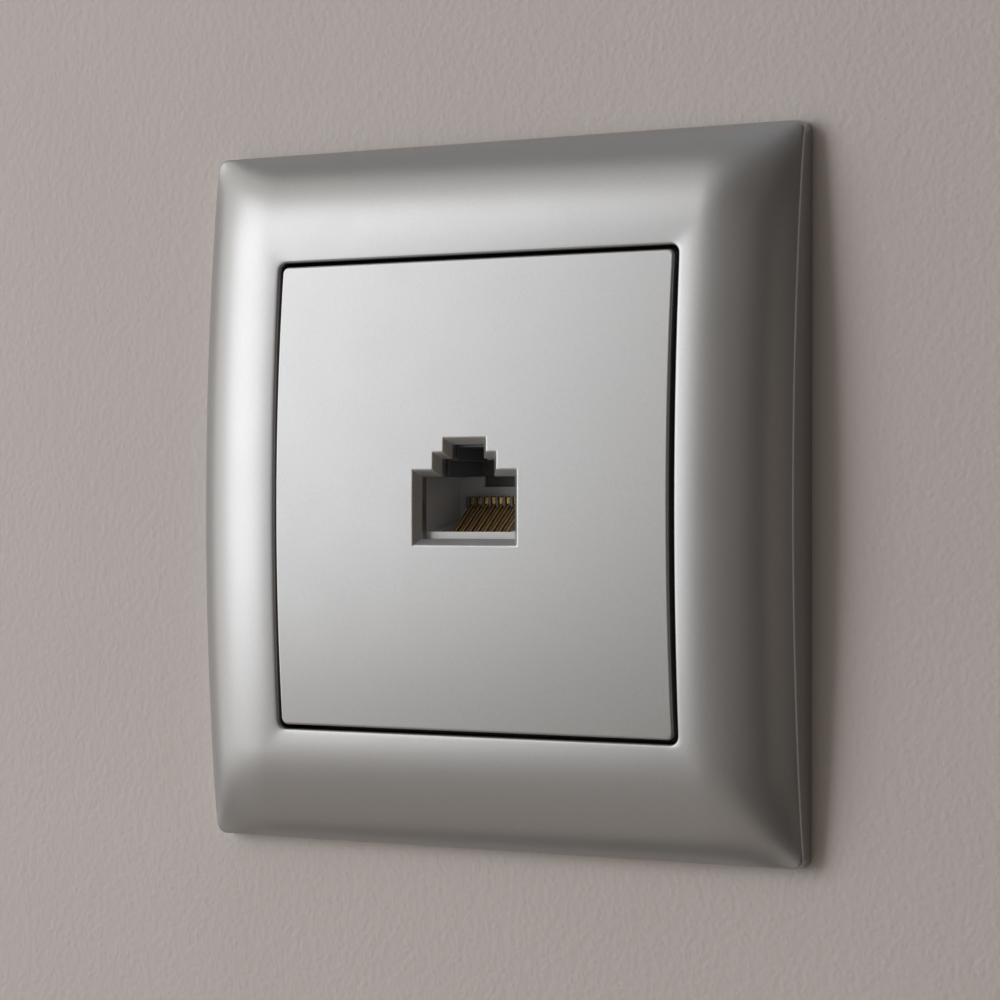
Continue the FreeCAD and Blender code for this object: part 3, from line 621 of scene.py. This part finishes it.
def port_outline(grow):
    """The stepped opening, enlarged all round, with slightly rounded corners."""
    main, step, slot = PORT_MAIN + grow, PORT_STEP + grow, PORT_SLOT + grow
    low, mid, top = (t + grow for t in PORT_TOPS)
    half = [(main, PORT_BOTTOM - grow), (main, low), (step, low), (step, mid), (slot, mid), (slot, top)]
    corners = [Vector(c) for c in half + [(-x, z) for x, z in reversed(half)]]
    points = []
    for i, corner in enumerate(corners):
        following = corners[(i + 1) % len(corners)]
        before = (corner - corners[i - 1]).normalized() * PORT_CORNER
        after = (following - corner).normalized() * PORT_CORNER
        centre = corner - before + after
        for k in range(PORT_CORNER_PARTS + 1):
            a = math.radians(90 * k / PORT_CORNER_PARTS)
            points.append(centre - after * math.cos(a) + before * math.sin(a))
        run = following - corner - 2 * after
        points += [corner + after + run * k / PORT_SIDE_PARTS for k in range(1, PORT_SIDE_PARTS)]
    return points


def port_rings():
    """Rings from the plate's front over the rounded lip, down the chamfer and through the wall."""
    tangent = math.tan(math.radians(PORT_SLOPE / 2))
    lip = PORT_CHAMFER + PORT_LIP * tangent
    foot = PLATE_CROWN - PORT_CHAMFER - PORT_FOOT * tangent
    turns = [PORT_SLOPE * k / PORT_ROUND_PARTS for k in range(PORT_ROUND_PARTS + 1)]
    rings = [[(x, -plate_front(x, z), z) for x, z in port_outline(lip + width)]
             for width in (EDGE_BAND, EDGE_HOLD)]
    for turn in turns:
        a = math.radians(turn)
        grow = PORT_CHAMFER + PORT_LIP * (tangent - math.sin(a))
        sink = PORT_LIP * (1 - math.cos(a))
        rings.append([(x, sink - plate_front(x, z), z) for x, z in port_outline(grow)])
    for turn in turns:
        a = math.radians(PORT_SLOPE + turn)
        grow = PORT_FOOT * (1 - math.sin(a))
        rings.append([(x, -foot - PORT_FOOT * math.cos(a), z) for x, z in port_outline(grow)])
    rings.append([(x, -plate_underside(x, z), z) for x, z in port_outline(0)])
    return rings


def beside_port(x, z):
    """Whether a place on the plate lies in the port or too near to it for a filling point."""
    in_main = abs(x) < PORT_MAIN + PORT_MARGIN and PORT_BOTTOM - PORT_MARGIN < z < PORT_TOPS[0] + PORT_MARGIN
    in_steps = abs(x) < PORT_STEP + PORT_MARGIN and 0 < z < PORT_TOPS[2] + PORT_MARGIN
    return in_main or in_steps


def inside_loop(point, loop):
    """Whether a point lies inside a closed loop, by the number of sides to its right."""
    inside = False
    for a, b in zip(loop, loop[1:] + loop[:1]):
        if (a.y > point.y) != (b.y > point.y):
            if point.x < a.x + (b.x - a.x) * (point.y - a.y) / (b.y - a.y):
                inside = not inside
    return inside


def fill_between(bm, outer, inner, spacing, height, material):
    """Triangles between two closed rings, with points in between that follow the surface."""
    loops = [[Vector((x, z)) for x, _, z in ring] for ring in (outer, inner)]
    points = loops[0] + loops[1]
    edges = []
    start = 0
    for loop in loops:
        edges += [(start + i, start + (i + 1) % len(loop)) for i in range(len(loop))]
        start += len(loop)
    margin = 0.45 * spacing
    reach_x = max(p.x for p in loops[0]) - margin
    reach_z = max(p.y for p in loops[0]) - margin
    rows = int(2 * reach_z / spacing)
    columns = int(2 * reach_x / spacing)
    for r in range(rows + 1):
        for c in range(columns + 1):
            p = Vector((-reach_x + 2 * reach_x * c / columns, -reach_z + 2 * reach_z * r / rows))
            if not beside_port(p.x, p.y):
                points.append(p)
    inside_only, merge_distance = 1, 1e-7
    found, _, faces, _, _, _ = delaunay_2d_cdt(points, edges, [], inside_only, merge_distance)
    made = [bm.verts.new(Vector((p.x, -height(p.x, p.y), p.y)) * MM) for p in found]
    for face in faces:
        middle = sum((found[i] for i in face), Vector((0, 0))) / len(face)
        if not inside_loop(middle, loops[1]):
            bm.faces.new([made[i] for i in face]).material_index = material


def cover_plate():
    """Central plate: lacquered front and port, bare ABS behind, with four snap legs."""
    side, inner = plate_outline(0), plate_outline(PLATE_WALL)
    hold = PLATE_ROUND + EDGE_HOLD
    edge = [raised_ring(plate_outline(PLATE_ROUND + EDGE_BAND), plate_front),
            [(x - nx * hold, -plate_front(x, z - nz * hold), z - nz * hold) for x, z, nx, nz in side]]
    edge += edge_rings(side, plate_front, PLATE_ROUND, PLATE_ROUND_PARTS, 1)
    painted = edge + [[(x, y + LACQUER_IN_GAP, z) for x, y, z in edge[-1]]]
    roof = raised_ring(inner, plate_underside)
    bare = [level_ring(side, LEDGE_FRONT), level_ring(inner, LEDGE_FRONT), roof]
    port = port_rings()
    bm = bmesh.new()
    skin_rings(bm, painted + bare, [0] * len(painted) + [1] * len(bare), closed=False)
    skin_rings(bm, port, [0] * len(port), closed=False)
    fill_between(bm, edge[0], port[0], FRONT_SPACING, plate_front, 0)
    fill_between(bm, roof, port[-1], UNDERSIDE_SPACING, plate_underside, 1)
    bmesh.ops.remove_doubles(bm, verts=bm.verts, dist=PLATE_WELD * MM)
    leg = [(LEG_ROOT, LEG_INNER), (LEG_END, LEG_INNER), (LEG_END, LEG_OUTER), (0.0, LEG_HOOK),
           (LEG_CATCH, LEG_HOOK), (LEG_CATCH, LEG_OUTER), (LEG_ROOT, LEG_OUTER)]
    for sx in (-1, 1):
        for sz in (-1, 1):
            start = sx * LEG_OFFSET - LEG_WIDTH / 2
            prism(bm, [(y, sz * z) for y, z in leg], "x", start, start + LEG_WIDTH, 1, MOULDED_EDGE)
    show("cover_plate", "moulding", bm, [LACQUER, BARE_ABS])


def softened_mesh(node, edge, edge_material=0):
    """The CAD node's own shape, with its sharp edges rounded as tooling and plating leave them."""
    bm = bmesh.new()
    bm.from_mesh(frame["nodes"][node].data)
    for face in bm.faces:
        face.material_index = 0
    bmesh.ops.remove_doubles(bm, verts=bm.verts, dist=CAD_WELD * MM)
    bmesh.ops.dissolve_limit(bm, angle_limit=math.radians(FLAT_TURN), verts=bm.verts, edges=bm.edges)
    round_edges(bm, turned_edges(bm, SHARP_TURN), edge, edge_material)
    return bm


def softened(node, made, edge, materials):
    """The node with softened edges; where there is a second material, it goes on those edges."""
    show(node, made, softened_mesh(node, edge, len(materials) - 1), materials)


def part_of_tray(middle):
    """0 for the tray round the plug, 1 for its front ledge, which gets painted light, 2 for the teeth
    between the contacts, which get painted shade.
    """
    just_over = 0.02
    if middle.y < TRAY_LEDGE_BACK and middle.z < TRAY_LEDGE_TOP + just_over:
        return 1
    in_teeth = (TEETH_FRONT < middle.y < TEETH_BACK and TEETH_BOTTOM < middle.z < TEETH_TOP
                and abs(middle.x) < TEETH_HALF)
    return 2 if in_teeth else 0


def contact_tray():
    """Tray with the comb for the contacts: one pale moulding, with painted light on its front ledge and
    painted charcoal shade on its teeth, cut along the ledge's top.
    """
    bm = softened_mesh("contact_comb", TRAY_EDGE)
    bmesh.ops.bisect_plane(bm, geom=bm.verts[:] + bm.edges[:] + bm.faces[:], dist=0.001 * MM,
                           plane_co=(0.0, 0.0, TRAY_LEDGE_TOP * MM), plane_no=(0.0, 0.0, 1.0))
    # Faces get painted light on the ledge and painted shade on the teeth.
    for face in bm.faces:
        face.material_index = part_of_tray(face.calc_center_median() / MM)
    show("contact_comb", "moulding", bm, [PALE_PBT, PAINTED_LIGHT_PBT, CHARCOAL_PBT])


def lathe(bm, profile, centre, around=40):
    """Solid of revolution about a line along Y; the profile is radius and y, from pole to pole."""
    x0, z0 = centre
    rings = []
    for radius, y in profile[1:-1]:
        ring = []
        for k in range(around):
            a = 2 * math.pi * k / around
            r = radius(y, a) if callable(radius) else radius
            ring.append((x0 + r * math.cos(a), y, z0 + r * math.sin(a)))
        rings.append(ring)
    made = skin_rings(bm, rings, [0] * len(rings), closed=False)
    for (_, y), ring in ((profile[0], made[0]), (profile[-1], made[-1])):
        pole = bm.verts.new(Vector((x0, y, z0)) * MM)
        for k in range(around):
            bm.faces.new((pole, ring[k], ring[(k + 1) % around]))


def carrier_rivets():
    """Four rivets with domed heads at the front and set heads with a dimple at the back."""
    bm = bmesh.new()
    for x in (-RIVET_OFFSET, RIVET_OFFSET):
        for z in (-RIVET_OFFSET, RIVET_OFFSET):
            lathe(bm, RIVET_PROFILE, (x, z))
    show("carrier_rivets", "domed", bm, [BRIGHT_ZINC])


def thread_radius(y, a):
    """Rounded sixty-degree thread."""
    phase = (y / SCREW_PITCH - a / (2 * math.pi)) % 1.0
    crest = 0.5 - 0.5 * math.cos(2 * math.pi * phase)
    return SCREW_MINOR + (SCREW_MAJOR - SCREW_MINOR) * crest


def slotted_head(x):
    """Cheese head with a rounded front, its slot cut across and the slot's edges broken."""
    front, back = SCREW_HEAD
    r = SCREW_HEAD_R
    blank_mesh = bmesh.new()
    lathe(blank_mesh, [(0, front)] + [(r - inset, front + sink) for inset, sink in HEAD_ROUND]
          + [(r, back - HEAD_BREAK), (r - HEAD_BREAK, back), (0, back)], (x, 0), HEAD_PARTS)
    blank = make_piece("screw_blank", blank_mesh, [BRIGHT_ZINC])
    width, depth = SCREW_SLOT
    spare, reach = 1.0, 4.0
    cutter_mesh = bmesh.new()
    prism(cutter_mesh, [(front - spare, -width / 2), (front + depth, -width / 2), (front + depth, width / 2),
                        (front - spare, width / 2)], "x", x - reach, x + reach)
    cutter = make_piece("slot_cutter", cutter_mesh, [BRIGHT_ZINC])
    cut = blank.modifiers.new("slot", "BOOLEAN")
    cut.object, cut.operation, cut.solver = cutter, "DIFFERENCE", "EXACT"
    blank.modifiers.move(1, 0)
    solid = blank.evaluated_get(bpy.context.evaluated_depsgraph_get())
    bm = bmesh.new()
    bm.from_mesh(solid.data)
    bpy.data.objects.remove(blank)
    bpy.data.objects.remove(cutter)
    bmesh.ops.remove_doubles(bm, verts=bm.verts, dist=CAD_WELD * MM)
    round_edges(bm, turned_edges(bm, SLOT_TURN), SLOT_EDGE)
    return bm


def claw_screw(node, x):
    """Slotted screw with its thread cut to the end and a rounded tip."""
    bm = slotted_head(x)
    start, end = SCREW_HEAD[1] - SHANK_SUNK, SCREW_TIP - THREAD_END
    steps = int((end - start) / SCREW_PITCH * THREAD_PARTS)
    shank = [(0, start)] + [(thread_radius, start + (end - start) * i / steps) for i in range(steps + 1)]
    shank += [(radius, SCREW_TIP - short) for radius, short in TIP_ROUND] + [(0, SCREW_TIP)]
    lathe(bm, shank, (x, 0), SHANK_PARTS)
    show(node, "threaded", bm, [BRIGHT_ZINC])


def wall_sheet():
    """A square of wall behind the frame, open where the socket passes through it."""
    rings = [[(sx * half, WALL_GAP, sz * half) for sx, sz in SQUARE]
             for half in (WALL_HALF, FRAME_HALF - WALL_TUCK)]
    bm = bmesh.new()
    skin_rings(bm, rings, [0], closed=False)
    wall = make_piece("plaster_wall", bm, [painted_plaster()])


def soft_lamp(name, turn, lift, away, size, radiance, tint):
    """Large soft box that faces the socket, placed by its bearing from straight ahead and its elevation."""
    turn, lift = math.radians(turn), math.radians(lift)
    light = bpy.data.lights.new(name, "AREA")
    light.shape = "RECTANGLE"
    light.size, light.size_y = size
    light.energy = math.pi * radiance * size[0] * size[1]
    light.color = srgb(tint)[:3]
    lamp = bpy.data.objects.new(name, light)
    bpy.context.scene.collection.objects.link(lamp)
    lamp.location = (away * math.cos(lift) * math.sin(turn), -away * math.cos(lift) * math.cos(turn),
                     away * math.sin(lift))
    lamp.rotation_euler = (-lamp.location).to_track_quat("-Z", "Y").to_euler()


def room_light():
    """Dim warm room in front of the wall; pale studio behind it, at its sides, above and below."""
    world = bpy.data.worlds.new("room")
    bpy.context.scene.world = world
    world.use_nodes = True
    tree = world.node_tree
    facing = add(tree, "ShaderNodeTexCoord").outputs["Generated"]
    way = add(tree, "ShaderNodeSeparateXYZ", {0: facing}).outputs
    sideways = add(tree, "ShaderNodeMath", {0: way["X"]}, operation="ABSOLUTE").outputs[0]
    steep = add(tree, "ShaderNodeMath", {0: way["Z"]}, operation="ABSOLUTE").outputs[0]
    outwards = add(tree, "ShaderNodeMath", {0: sideways, 1: steep}, operation="MAXIMUM").outputs[0]
    not_right = add(tree, "ShaderNodeMapRange", {"Value": way["X"], "From Min": 0.55, "From Max": 0.0})
    not_right = not_right.outputs["Result"]
    rays = add(tree, "ShaderNodeLightPath").outputs
    shiny = add(tree, "ShaderNodeMath", {0: rays["Is Glossy Ray"], 1: rays["Is Transmission Ray"]},
                operation="MAXIMUM").outputs[0]
    seen = add(tree, "ShaderNodeMath", {0: rays["Is Camera Ray"], 1: shiny}, operation="MAXIMUM").outputs[0]
    # Each part of the room: the direction that it lies in, where it starts and is full, how much of it
    # there is at most, and its colour in linear light
    parts = (
        # Dark end of the room at the right, then the paler one at the left
        (way["X"], 0.0, 0.9, 1.0, (0.012, 0.009, 0.006, 1.0)),
        (way["X"], -0.4, -0.95, 1.0, (0.2, 0.2, 0.2, 1.0)),
        # Floor and ceiling, then the brighter middle of the ceiling
        (steep, 0.15, 0.7, not_right, (0.12, 0.104, 0.09, 1.0)),
        (way["Z"], 0.65, 1.0, not_right, (0.56, 0.57, 0.6, 1.0)),
        # Studio behind the wall, then its pale surroundings as the camera and shiny surfaces see them
        (way["Y"], -0.1, 0.35, 1.0, (0.62, 0.6, 0.58, 1.0)),
        (outwards, 0.9, 0.98, seen, (0.42, 0.4, 0.385, 1.0)))
    colour = (0.075, 0.067, 0.058, 1.0)
    for direction, start, full, most, tint in parts:
        share = add(tree, "ShaderNodeMapRange", {"Value": direction, "From Min": start, "From Max": full,
                                                 "To Max": most})
        colour = add(tree, "ShaderNodeMix", {SHARE: share.outputs["Result"], FIRST: colour, SECOND: tint},
                     data_type="RGBA").outputs[MIXED]
    tree.links.new(colour, tree.nodes["Background"].inputs["Color"])


camera_at_photo_angle()
cover_frame()
cover_plate()
carrier_rivets()
claw_screw("claw_screw_left", -SCREW_X)
claw_screw("claw_screw_right", SCREW_X)
softened("support_plate", "stamping", edge=0.12, materials=[ZINC_SHEET])
softened("jack_carrier", "moulding", edge=0.2, materials=[GREY_PC])
for side in ("left", "right"):
    softened("claw_" + side, "stamping", edge=0.12, materials=[BRIGHT_ZINC])
    softened("claw_pin_" + side, "turned", edge=0.15, materials=[BRIGHT_ZINC])
softened("jack_housing", "moulding", edge=0.1, materials=[CHARCOAL_PBT])
contact_tray()
softened("contact_leads", "drawn", edge=0.06, materials=[TINNED])
for i in range(1, 9):
    # Each spring's rounded corners carry the painted highlight as their second material.
    softened("contact_spring_%d" % i, "drawn", edge=0.1, materials=[GOLD_WIRE, PAINTED_HIGHLIGHT_WIRE])
    softened("idc_blade_%d" % i, "stamping", edge=0.06, materials=[TINNED])
softened("jack_pcb", "sawn", edge=0.04, materials=[LAMINATE])
softened("terminal_block", "moulding", edge=0.12, materials=[CHARCOAL_PBT])
for row in ("upper", "lower"):
    softened("wire_cap_" + row, "moulding", edge=0.22, materials=[WHITE_PC])

wall_sheet()
# Soft boxes: name, bearing and elevation in degrees, distance and size in metres, radiance, tint
for soft_box in (("window", -50, 11.5, 1.1, (0.6, 0.77), 2.08, "#f7faff"),
                 ("window_glow", -59, 14, 1.15, (1.2, 1.4), 0.85, "#fffbf6"),
                 ("room_glow", -12, 4, 1.2, (0.8, 0.8), 0.14, "#fff2e6"),
                 ("far_wall", 42, -2, 1.2, (0.7, 0.72), 0.16, "#ffeee0"),
                 ("floor_bounce", -42, -37, 0.95, (1.06, 0.69), 0.3, "#fff3ea")):
    soft_lamp(*soft_box)
room_light()
bpy.context.scene.view_settings.view_transform = "Standard"
